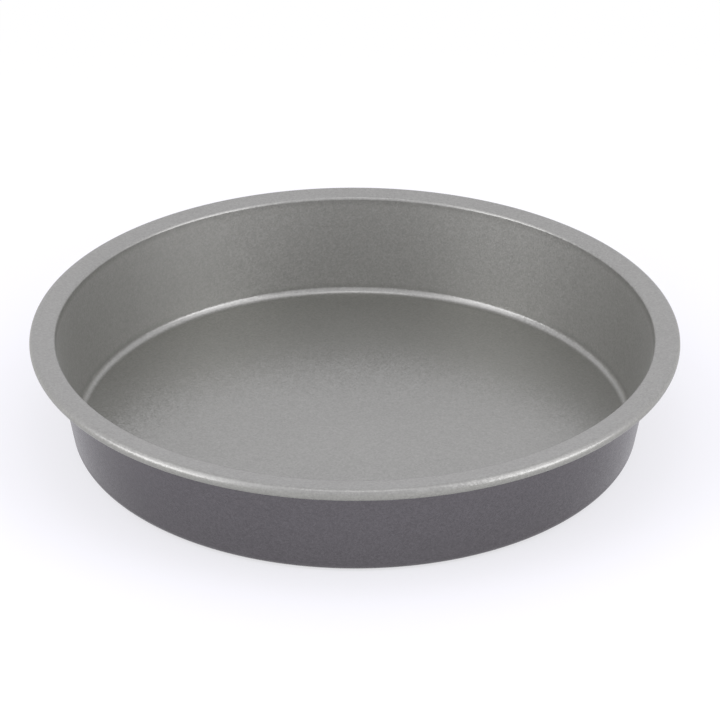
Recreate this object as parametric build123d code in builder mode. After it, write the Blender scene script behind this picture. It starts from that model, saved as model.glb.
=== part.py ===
from build123d import *
import os

# Round cake tin, drawn from one disc of coated sheet steel.
# Millimetres. The origin is the centre of the underside, on the surface that the tin stands on,
# and +Z is up, out of the open mouth.

# Overall sizes
rim_diameter = 250.0        # across the outside of the rolled edge
height = 42.8               # from the standing surface to the top of the rolled edge

# Sheet, counted from the inside face to the outside face
inside_coat_thickness = 0.1
steel_thickness = 0.6
outside_coat_thickness = 0.1

# Base and wall, on the inside face of the sheet
base_corner_radius = 3.1
wall_flare = 9.0            # degrees that the wall leans outwards from upright

# Rim, on the same face, which turns to the outside of the rolled edge
rim_width = 9.75            # from the edge of the mouth to the outside of the rolled edge
shoulder_radius = 1.3       # rounding between the wall and the flange
flange_rise = 7.0           # degrees that the flange climbs outwards from level
roll_diameter = 4.5         # outside diameter of the rolled edge
roll_turn = 290.0           # degrees that the sheet is rolled through

# Depths of the four faces that bound the layers, measured into the sheet from its inside face
inside_face = 0.0
steel_top = inside_coat_thickness
steel_bottom = steel_top + steel_thickness
outside_face = steel_bottom + outside_coat_thickness

# Directions that the inside face of the wall and the top face of the flange look in
wall_facing = Vector(-1, 0).rotate(Axis.Z, -wall_flare)
flange_facing = Vector(0, 1).rotate(Axis.Z, flange_rise)

# Centre of the rolled edge, and the edge of the mouth as a sharp corner before it is rounded.
# The flange runs from the mouth edge and is tangent to the rolled edge.
roll_radius = roll_diameter / 2
roll_centre = Vector(rim_diameter / 2 - roll_radius, height - roll_radius)
flange_end = roll_centre + flange_facing * roll_radius
mouth_radius = rim_diameter / 2 - rim_width
flange_run = flange_end.X - mouth_radius
mouth_edge = Vector(mouth_radius, flange_end.Y + flange_run * flange_facing.X / flange_facing.Y)

# The shoulder rounds the mouth edge and is tangent to the wall and the flange
facing_sum = wall_facing + flange_facing
shoulder_centre = mouth_edge - facing_sum * (shoulder_radius / facing_sum.dot(wall_facing))

# The base corner is tangent to the flat base and to the wall, which sets how wide the base is
corner_height = outside_face + base_corner_radius
corner_reach = base_corner_radius - wall_facing.Y * (corner_height - mouth_edge.Y)
corner_centre = Vector(mouth_radius + corner_reach / wall_facing.X, corner_height)


# One face of the sheet at a depth below its inside face, from the axis to the cut end
def sheet_face(depth):
    corner = CenterArc(corner_centre, base_corner_radius + depth, -90, 90 - wall_flare)
    shoulder = CenterArc(
        shoulder_centre, shoulder_radius - depth, 180 - wall_flare, flange_rise + wall_flare - 90
    )
    roll = CenterArc(roll_centre, roll_radius - depth, 90 + flange_rise, -roll_turn)
    axis_point = Vector(0, outside_face - depth)
    Line(axis_point, corner @ 0)
    Line(corner @ 1, shoulder @ 0)
    Line(shoulder @ 1, roll @ 0)
    return axis_point, roll @ 1


# Closed half section of a layer between two depths of the sheet
def layer_outline(near_depth, far_depth):
    near_axis_point, near_cut_end = sheet_face(near_depth)
    far_axis_point, far_cut_end = sheet_face(far_depth)
    Line(near_axis_point, far_axis_point)
    Line(near_cut_end, far_cut_end)


# Pressed steel sheet
with BuildPart() as steel_shell:
    with BuildSketch(Plane.XZ):
        with BuildLine():
            layer_outline(steel_top, steel_bottom)
        make_face()
    revolve(axis=Axis.Z)

# Silver grey non-stick coat on the inside, the flange and the outside of the rolled edge
with BuildPart() as inside_coat:
    with BuildSketch(Plane.XZ):
        with BuildLine():
            layer_outline(inside_face, steel_top)
        make_face()
    revolve(axis=Axis.Z)

# Dark non-stick coat on the underside, the outside of the wall and the inside of the rolled edge
with BuildPart() as outside_coat:
    with BuildSketch(Plane.XZ):
        with BuildLine():
            layer_outline(steel_bottom, outside_face)
        make_face()
    revolve(axis=Axis.Z)

steel_shell.part.label = "steel_shell"
inside_coat.part.label = "inside_coat"
outside_coat.part.label = "outside_coat"

os.makedirs("parts", exist_ok=True)
export_step(steel_shell.part, "parts/steel_shell.step")
export_step(inside_coat.part, "parts/inside_coat.step")
export_step(outside_coat.part, "parts/outside_coat.step")
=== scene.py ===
import math

import bpy
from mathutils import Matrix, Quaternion, Vector


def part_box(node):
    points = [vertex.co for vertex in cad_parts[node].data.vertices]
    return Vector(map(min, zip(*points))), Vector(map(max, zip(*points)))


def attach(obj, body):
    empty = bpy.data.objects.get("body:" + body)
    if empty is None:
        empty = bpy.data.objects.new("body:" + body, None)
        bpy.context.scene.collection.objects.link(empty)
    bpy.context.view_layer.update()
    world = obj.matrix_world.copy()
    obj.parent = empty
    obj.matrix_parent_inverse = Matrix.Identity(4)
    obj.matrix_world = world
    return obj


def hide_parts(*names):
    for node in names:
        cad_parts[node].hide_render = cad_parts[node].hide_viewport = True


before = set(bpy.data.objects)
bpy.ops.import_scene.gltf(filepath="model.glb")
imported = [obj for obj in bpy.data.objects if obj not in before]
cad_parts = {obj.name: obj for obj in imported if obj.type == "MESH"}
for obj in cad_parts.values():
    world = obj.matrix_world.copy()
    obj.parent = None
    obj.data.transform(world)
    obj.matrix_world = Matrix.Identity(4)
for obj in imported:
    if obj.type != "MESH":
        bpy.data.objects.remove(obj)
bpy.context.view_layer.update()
scene = bpy.context.scene
print("frame loaded:", ", ".join(sorted(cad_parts)))

# What the frame gives, in metres
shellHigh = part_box("steel_shell")[1]
insideLow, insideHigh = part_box("inside_coat")
outsideLow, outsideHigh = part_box("outside_coat")
rimRadius = insideHigh.x
height = insideHigh.z

# Depths of the faces between the layers, below the inside face of the sheet
steelTop = insideHigh.x - shellHigh.x
steelBottom = insideHigh.x - outsideHigh.x
outsideFace = insideLow.z - outsideLow.z + steelTop

# Bends of the sheet, measured on its inside face, in metres and degrees
sheet = {
    "baseCorner": 0.0031,    # radius between base and wall
    "flare": 9.0,            # degrees that the wall leans out
    "shoulder": 0.0013,      # radius between wall and flange
    "rimWidth": 0.00975,     # mouth edge to the outside of the rolled edge
    "rise": 7.0,             # degrees that the flange climbs outwards
    "roll": 0.00225,         # outside radius of the rolled edge
    "rollTurn": 290.0,       # degrees that the sheet is rolled through
}

# How finely the sheet is divided, round the axis and along the section
divisions = {
    "around": 240,
    "base": 8,
    "wall": 6,
    "flange": 4,
    "cornerArc": 12,
    "shoulderArc": 10,
    "rollArc": 36,
}


# Direction in the half section: 0 degrees is straight out from the axis and 90 is straight up
def facing(degrees):
    angle = math.radians(degrees)
    return Vector((math.cos(angle), math.sin(angle)))


# Centres of the three bends, as (radius, height) in the half section
wallFacing = facing(180 - sheet["flare"])
flangeFacing = facing(90 + sheet["rise"])
rollCentre = Vector((rimRadius - sheet["roll"], height - sheet["roll"]))
flangeEnd = rollCentre + flangeFacing * sheet["roll"]
mouthRadius = rimRadius - sheet["rimWidth"]
flangeRun = flangeEnd.x - mouthRadius
mouthEdge = Vector((mouthRadius, flangeEnd.y + flangeRun * flangeFacing.x / flangeFacing.y))
facingSum = wallFacing + flangeFacing
shoulderCentre = mouthEdge - facingSum * (sheet["shoulder"] / facingSum.dot(wallFacing))
cornerHeight = outsideFace + sheet["baseCorner"]
cornerReach = sheet["baseCorner"] - wallFacing.y * (cornerHeight - mouthEdge.y)
cornerCentre = Vector((mouthRadius + cornerReach / wallFacing.x, cornerHeight))


# Points round a bend, each with the way that the sheet faces there
def bend(centre, radius, start, turn, steps, sign):
    points = []
    for step in range(steps + 1):
        out = facing(start + turn * step / steps)
        points.append((centre + out * radius, out * sign))
    return points


# Points between the ends of a straight run, without the ends themselves
def straight(start, end, steps):
    points = []
    for step in range(1, steps):
        points.append((start[0].lerp(end[0], step / steps), start[1]))
    return points


# One face of the sheet at a depth below its inside face, from the axis to the cut end
def sheetFace(depth):
    corner = bend(cornerCentre, sheet["baseCorner"] + depth, -90,
                  90 - sheet["flare"], divisions["cornerArc"], -1)
    shoulder = bend(shoulderCentre, sheet["shoulder"] - depth, 180 - sheet["flare"],
                    sheet["rise"] + sheet["flare"] - 90, divisions["shoulderArc"], 1)
    roll = bend(rollCentre, sheet["roll"] - depth, 90 + sheet["rise"],
                -sheet["rollTurn"], divisions["rollArc"], 1)
    middle = (Vector((0, outsideFace - depth)), Vector((0, 1)))
    points = [middle] + straight(middle, corner[0], divisions["base"]) + corner
    points += straight(corner[-1], shoulder[0], divisions["wall"]) + shoulder
    points += straight(shoulder[-1], roll[0], divisions["flange"]) + roll
    return points


# A closed layer of the sheet, turned round the axis, with the exact facing at every corner
def layerMesh(name, nearDepth, farDepth):
    near = sheetFace(nearDepth)
    far = list(reversed(sheetFace(farDepth)))
    rings = [point for point, out in near + far]

    # Strips between one ring and the next: the near face, the cut end, and the far face back
    cutFacing = facing(sheet["rise"] - sheet["rollTurn"])
    strips = []
    for index in range(len(near) - 1):
        strips.append((index, near[index][1], near[index + 1][1]))
    strips.append((len(near) - 1, cutFacing, cutFacing))
    for index in range(len(far) - 1):
        strips.append((len(near) + index, -far[index][1], -far[index + 1][1]))

    # A ring on the axis is a single point
    around = divisions["around"]
    vertices = []
    firstOf = []
    for ring in rings:
        firstOf.append(len(vertices))
        count = 1 if ring.x == 0 else around
        for step in range(count):
            angle = 2 * math.pi * step / around
            vertices.append((ring.x * math.cos(angle), ring.x * math.sin(angle), ring.y))

    faces = []
    normals = []
    for index, outA, outB in strips:
        for step in range(around):
            corners = []
            for ring, shift, out in ((index, 0, outA), (index + 1, 0, outB),
                                     (index + 1, 1, outB), (index, 1, outA)):
                single = rings[ring].x == 0
                if single and shift:
                    continue
                place = 0 if single else (step + shift) % around
                angle = 2 * math.pi * (step + shift) / around
                if single:
                    angle += math.pi / around
                corners.append((firstOf[ring] + place,
                                (out.x * math.cos(angle), out.x * math.sin(angle), out.y)))
            faces.append([vertex for vertex, normal in corners])
            normals += [normal for vertex, normal in corners]

    mesh = bpy.data.meshes.new(name)
    mesh.from_pydata(vertices, [], faces)
    mesh.validate()
    mesh.shade_smooth()
    mesh.normals_split_custom_set(normals)
    return mesh


# Shader maths: a value from a node, which adds Math nodes when it is summed or multiplied
class Wire:
    def __init__(self, finish, socket):
        self.finish = finish
        self.socket = socket

    def maths(self, operation, first, second):
        return self.finish.node("ShaderNodeMath", {"operation": operation}, {0: first, 1: second})

    def __add__(self, other):
        return self.maths("ADD", self, other)

    def __radd__(self, other):
        return self.maths("ADD", other, self)

    def __sub__(self, other):
        return self.maths("SUBTRACT", self, other)

    def __rsub__(self, other):
        return self.maths("SUBTRACT", other, self)

    def __mul__(self, other):
        return self.maths("MULTIPLY", self, other)

    def __rmul__(self, other):
        return self.maths("MULTIPLY", other, self)


# The nodes of a material or of the world
class Finish:
    def __init__(self, holder):
        holder.use_nodes = True
        self.tree = holder.node_tree
        self.tree.nodes.clear()

    # Adds a node: its settings first, then the values or links of its sockets
    def node(self, kind, settings, sockets, output=0):
        made = self.tree.nodes.new(kind)
        for key, value in settings.items():
            setattr(made, key, value)
        for key, value in sockets.items():
            if isinstance(value, Wire):
                self.tree.links.new(value.socket, made.inputs[key])
            else:
                made.inputs[key].default_value = value
        return Wire(self, made.outputs[output]) if len(made.outputs) else made


# How the levels of a picture stand for amounts of light
pictureCurve = {
    "full": 255,
    "straightTo": 0.04045,
    "straightSlope": 12.92,
    "lift": 0.055,
    "power": 2.4,
}


# A colour in picture levels, turned into the shader's own numbers
def shade(red, green, blue):
    linear = []
    for level in (red, green, blue):
        part = level / pictureCurve["full"]
        if part <= pictureCurve["straightTo"]:
            linear.append(part / pictureCurve["straightSlope"])
        else:
            lifted = (part + pictureCurve["lift"]) / (1 + pictureCurve["lift"])
            linear.append(lifted ** pictureCurve["power"])
    return (*linear, 1)


# Heights in metres between which the finish changes, from base to wall and from wall to rim
bands = {
    "wallFrom": 0.001,
    "wallFull": 0.006,
    "wallTo": 0.038,
    "rimFrom": 0.041,
}

# What every coat and the bare steel have in common
metal = {
    "metallic": 1.0,
    "ior": 1.45,
    "middle": 0.5,           # flakes, grain and drift run from 0 to 1, either side of this
    "grainDetail": 2.0,
    "grainRoughness": 0.6,
    "driftDetail": 3.0,
    "driftRoughness": 0.5,
}


# Satin metal with fine flakes, a grain and a slow drift of tone
def flakeCoat(look):
    material = bpy.data.materials.new(look["name"])
    coat = Finish(material)
    middle = metal["middle"]
    place = coat.node("ShaderNodeTexCoord", {}, {}, "Object")
    level = coat.node("ShaderNodeSeparateXYZ", {}, {"Vector": place}, "Z")
    flakes = coat.node("ShaderNodeTexVoronoi", {}, {"Vector": place, "Scale": look["flakes"]}, "Color")
    grain = coat.node("ShaderNodeTexNoise", {}, {
        "Vector": place,
        "Scale": look["grain"],
        "Detail": metal["grainDetail"],
        "Roughness": metal["grainRoughness"],
    })
    drift = coat.node("ShaderNodeTexNoise", {}, {
        "Vector": place,
        "Scale": look["drift"],
        "Detail": metal["driftDetail"],
        "Roughness": metal["driftRoughness"],
    })
    flake = coat.node("ShaderNodeSeparateColor", {}, {"Color": flakes}, "Red")
    tone = (middle + (flake - middle) * look["flakeTone"] + (grain - middle) * look["grainTone"]
            + (drift - middle) * look["driftTone"])
    colour = coat.node("ShaderNodeMix", {"data_type": "RGBA"},
                       {"Factor": tone, "A": shade(*look["dark"]), "B": shade(*look["light"])}, "Result")
    roughness = (look["roughness"] + (drift - middle) * look["roughDrift"]
                 + (grain - middle) * look["roughGrain"])

    # Each flake lies at its own small tilt
    normal = coat.node("ShaderNodeNewGeometry", {}, {}, "Normal")
    lean = coat.node("ShaderNodeVectorMath", {"operation": "SUBTRACT"},
                     {0: flakes, 1: (middle, middle, middle)})
    lean = coat.node("ShaderNodeVectorMath", {"operation": "SCALE"}, {0: lean, "Scale": look["tilt"]})
    lean = coat.node("ShaderNodeVectorMath", {"operation": "ADD"}, {0: normal, 1: lean})
    lean = coat.node("ShaderNodeVectorMath", {"operation": "NORMALIZE"}, {0: lean})
    skin = coat.node("ShaderNodeBump", {"invert": False}, {
        "Height": grain,
        "Normal": lean,
        "Strength": look["bump"],
        "Distance": look["bumpDepth"],
    })

    # A smooth and a rough finish, mixed in different shares on the base, the wall and the rim
    low = coat.node("ShaderNodeMapRange", {"interpolation_type": "SMOOTHSTEP"},
                    {"Value": level, "From Min": bands["wallFrom"], "From Max": bands["wallFull"]})
    high = coat.node("ShaderNodeMapRange", {"interpolation_type": "SMOOTHSTEP"},
                     {"Value": level, "From Min": bands["wallTo"], "From Max": bands["rimFrom"]})
    share = (look["baseShare"] + low * (look["wallShare"] - look["baseShare"])
             + high * (look["rimShare"] - look["wallShare"]))
    shaders = []
    for finishRoughness in (roughness, roughness - look["smoother"]):
        shaders.append(coat.node("ShaderNodeBsdfPrincipled", {}, {
            "Base Color": colour,
            "Roughness": finishRoughness,
            "Metallic": metal["metallic"],
            "Normal": skin,
            "IOR": metal["ior"],
        }))
    both = coat.node("ShaderNodeMixShader", {}, {0: share, 1: shaders[0], 2: shaders[1]})
    coat.node("ShaderNodeOutputMaterial", {}, {"Surface": both})
    return material


# Silver grey coat on the inside, the flange and the rolled edge
insideLook = {
    "name": "insideCoat",
    "dark": (139, 139, 134),
    "light": (176, 176, 170),
    "flakes": 1700.0,        # flakes to the metre
    "flakeTone": 0.28,       # how far the flakes go between dark and light
    "grain": 900.0,          # grains to the metre
    "grainTone": 0.5,
    "drift": 22.0,           # drifts of tone to the metre
    "driftTone": 0.2,
    "roughness": 0.6,        # of the rough finish
    "roughDrift": 0.03,
    "roughGrain": 0.06,
    "tilt": 0.07,            # most that a flake leans
    "bump": 0.2,
    "bumpDepth": 0.00006,    # metres
    "baseShare": 0.58,       # share of the smooth finish on the base
    "wallShare": 0.15,
    "rimShare": 0.4,
    "smoother": 0.35,        # how much less rough the smooth finish is
}

# Dark coat on the outside and the underside, with the same keys
outsideLook = {
    "name": "outsideCoat",
    "dark": (88, 86, 88),
    "light": (119, 116, 119),
    "flakes": 1800.0,
    "flakeTone": 0.3,
    "grain": 950.0,
    "grainTone": 0.5,
    "drift": 20.0,
    "driftTone": 0.2,
    "roughness": 0.6,
    "roughDrift": 0.03,
    "roughGrain": 0.05,
    "tilt": 0.07,
    "bump": 0.2,
    "bumpDepth": 0.00006,
    "baseShare": 0.58,
    "wallShare": 0.8,
    "rimShare": 0.6,
    "smoother": 0.35,
}

# Bare steel, which shows at the cut end only
steelLook = {
    "name": "cutSteel",
    "dark": (160, 160, 160),
    "light": (200, 200, 200),
    "flakes": 4000.0,
    "flakeTone": 0.2,
    "grain": 2500.0,
    "grainTone": 0.8,
    "drift": 60.0,
    "driftTone": 0.2,
    "roughness": 0.35,
    "roughDrift": 0.05,
    "roughGrain": 0.1,
    "tilt": 0.05,
    "bump": 0.4,
    "bumpDepth": 0.00008,
    "baseShare": 0.4,
    "wallShare": 0.4,
    "rimShare": 0.4,
    "smoother": 0.1,
}

# Each layer: its name, its node, its material slot, the depths it lies between, and its look
layers = (
    ("silverCoat", "inside_coat", "inside_coat", 0, steelTop, insideLook),
    ("pressedSteel", "steel_shell", "steel_sheet", steelTop, steelBottom, steelLook),
    ("darkCoat", "outside_coat", "outside_coat", steelBottom, outsideFace, outsideLook),
)
for name, node, slot, nearDepth, farDepth, look in layers:
    piece = bpy.data.objects.new(name, layerMesh(name, nearDepth, farDepth))
    scene.collection.objects.link(piece)
    piece.data.materials.append(flakeCoat(look))
    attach(piece, "root")
    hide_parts(node)
    print("layer made:", name, len(piece.data.polygons), "faces")

# Pale floor, which runs out to white away from the tin where the camera or the metal sees it
floorLook = {
    "size": 8.0,             # metres
    "drop": 0.0001,          # metres below the underside, so that the two faces never coincide
    "pale": (243, 242, 250),
    "whiteNear": 0.6,        # share of white close to the tin
    "whiteFrom": 0.14,       # metres from the tin's axis where that share starts to rise
    "whiteTo": 0.50,         # and where all is white
    "white": 1.0,            # strength of the white
}
half = floorLook["size"] / 2
floorMesh = bpy.data.meshes.new("floor")
floorMesh.from_pydata([(-half, -half, 0), (half, -half, 0), (half, half, 0), (-half, half, 0)],
                      [], [(0, 1, 2, 3)])
floor = bpy.data.objects.new("floor", floorMesh)
floor.location = (0, 0, -floorLook["drop"])
scene.collection.objects.link(floor)
paperMaterial = bpy.data.materials.new("paper")
paper = Finish(paperMaterial)
floorPlace = paper.node("ShaderNodeTexCoord", {}, {}, "Object")
away = paper.node("ShaderNodeVectorMath", {"operation": "LENGTH"}, {0: floorPlace}, "Value")
fade = paper.node("ShaderNodeMapRange", {"interpolation_type": "SMOOTHSTEP"}, {
    "Value": away,
    "From Min": floorLook["whiteFrom"],
    "From Max": floorLook["whiteTo"],
    "To Min": floorLook["whiteNear"],
})
seen = paper.node("ShaderNodeLightPath", {}, {}, "Is Camera Ray")
mirrored = paper.node("ShaderNodeLightPath", {}, {}, "Is Glossy Ray")
passed = paper.node("ShaderNodeLightPath", {}, {}, "Is Transmission Ray")
matt = paper.node("ShaderNodeBsdfDiffuse", {}, {"Color": shade(*floorLook["pale"])})
glow = paper.node("ShaderNodeEmission", {}, {"Strength": floorLook["white"]})
paperMix = paper.node("ShaderNodeMixShader", {}, {0: fade * (seen + mirrored + passed), 1: matt, 2: glow})
paper.node("ShaderNodeOutputMaterial", {}, {"Surface": paperMix})
floorMesh.materials.append(paperMaterial)
print("floor made")

# Studio: white all round for the camera, near white for the metal, and a plain level of soft light
studio = {
    "plain": (255, 255, 255),
    "cool": (249, 248, 256),  # faintly blue, also for the soft boxes
    "ambient": 0.86,
    "white": 1.0,
}
world = bpy.data.worlds.new("studio")
scene.world = world
air = Finish(world)
cool = shade(*studio["cool"])
direct = air.node("ShaderNodeLightPath", {}, {}, "Is Camera Ray")
reflected = air.node("ShaderNodeLightPath", {}, {}, "Is Glossy Ray")
through = air.node("ShaderNodeLightPath", {}, {}, "Is Transmission Ray")
soft = air.node("ShaderNodeBackground", {}, {"Color": cool, "Strength": studio["ambient"]})
backdrop = air.node("ShaderNodeMix", {"data_type": "RGBA"},
                    {"Factor": direct, "A": cool, "B": shade(*studio["plain"])}, "Result")
bright = air.node("ShaderNodeBackground", {}, {"Color": backdrop, "Strength": studio["white"]})
airMix = air.node("ShaderNodeMixShader", {}, {0: direct + reflected + through, 1: soft, 2: bright})
air.node("ShaderNodeOutputWorld", {}, {"Surface": airMix})
print("studio made")

# Soft boxes, all at one distance in metres from the middle of the underside. Each azimuth is counted
# from the camera's side round to the right, in degrees, and widths and depths are in metres.
lampDistance = 1.4
lamps = {
    "left": {"azimuth": -65.0, "elevation": 16.0, "width": 1.2, "depth": 0.6, "watts": 5.3},
    "right": {"azimuth": 65.0, "elevation": 16.0, "width": 1.2, "depth": 0.6, "watts": 5.3},
    "midLeft": {"azimuth": -62.0, "elevation": 35.0, "width": 0.9, "depth": 0.6, "watts": 2.2},
    "midRight": {"azimuth": 62.0, "elevation": 35.0, "width": 0.9, "depth": 0.6, "watts": 2.2},
    "upperLeft": {"azimuth": -76.0, "elevation": 57.0, "width": 1.0, "depth": 0.7, "watts": 1.75},
    "upperRight": {"azimuth": 76.0, "elevation": 57.0, "width": 1.0, "depth": 0.7, "watts": 1.75},
    "back": {"azimuth": 180.0, "elevation": 35.0, "width": 2.4, "depth": 1.2, "watts": 0.74},
    "top": {"azimuth": 0.0, "elevation": 85.0, "width": 0.5, "depth": 0.5, "watts": 0.85},
}
for name, lamp in lamps.items():
    light = bpy.data.lights.new(name, "AREA")
    light.shape = "ELLIPSE"
    light.size = lamp["width"]
    light.size_y = lamp["depth"]
    light.energy = lamp["watts"]
    light.color = cool[:3]
    holder = bpy.data.objects.new(name, light)
    scene.collection.objects.link(holder)
    turn = math.radians(lamp["azimuth"])
    climb = math.radians(lamp["elevation"])
    level = math.cos(climb)
    out = Vector((math.sin(turn) * level, -math.cos(turn) * level, math.sin(climb)))
    holder.location = out * lampDistance
    holder.rotation_mode = "QUATERNION"
    holder.rotation_quaternion = (-out).to_track_quat("-Z", "Y")
print("lights made:", len(lamps))

# Camera, placed from the middle of the rim and aimed a little below it
view = {
    "lens": 149.55,          # millimetres
    "distance": 1.1525,      # metres from the middle of the rim
    "elevation": 27.91,      # degrees above level
    "aimRight": 0.001993,    # metres from the middle of the rim to where it looks
    "aimUp": -0.013683,
    "roll": 0.161,           # degrees
}
viewClimb = math.radians(view["elevation"])
rimMiddle = Vector((0, 0, height))
viewBack = Vector((0, -math.cos(viewClimb), math.sin(viewClimb)))
viewUp = Vector((0, math.sin(viewClimb), math.cos(viewClimb)))
camera = bpy.data.objects.new("camera", bpy.data.cameras.new("camera"))
scene.collection.objects.link(camera)
camera.data.lens = view["lens"]
camera.location = rimMiddle + viewBack * view["distance"]
target = rimMiddle + Vector((view["aimRight"], 0, 0)) + viewUp * view["aimUp"]
lookAt = (target - camera.location).to_track_quat("-Z", "Y")
camera.rotation_mode = "QUATERNION"
camera.rotation_quaternion = lookAt @ Quaternion((0, 0, 1), math.radians(view["roll"]))
scene.camera = camera
scene.view_settings.view_transform = "Standard"
print("camera made")
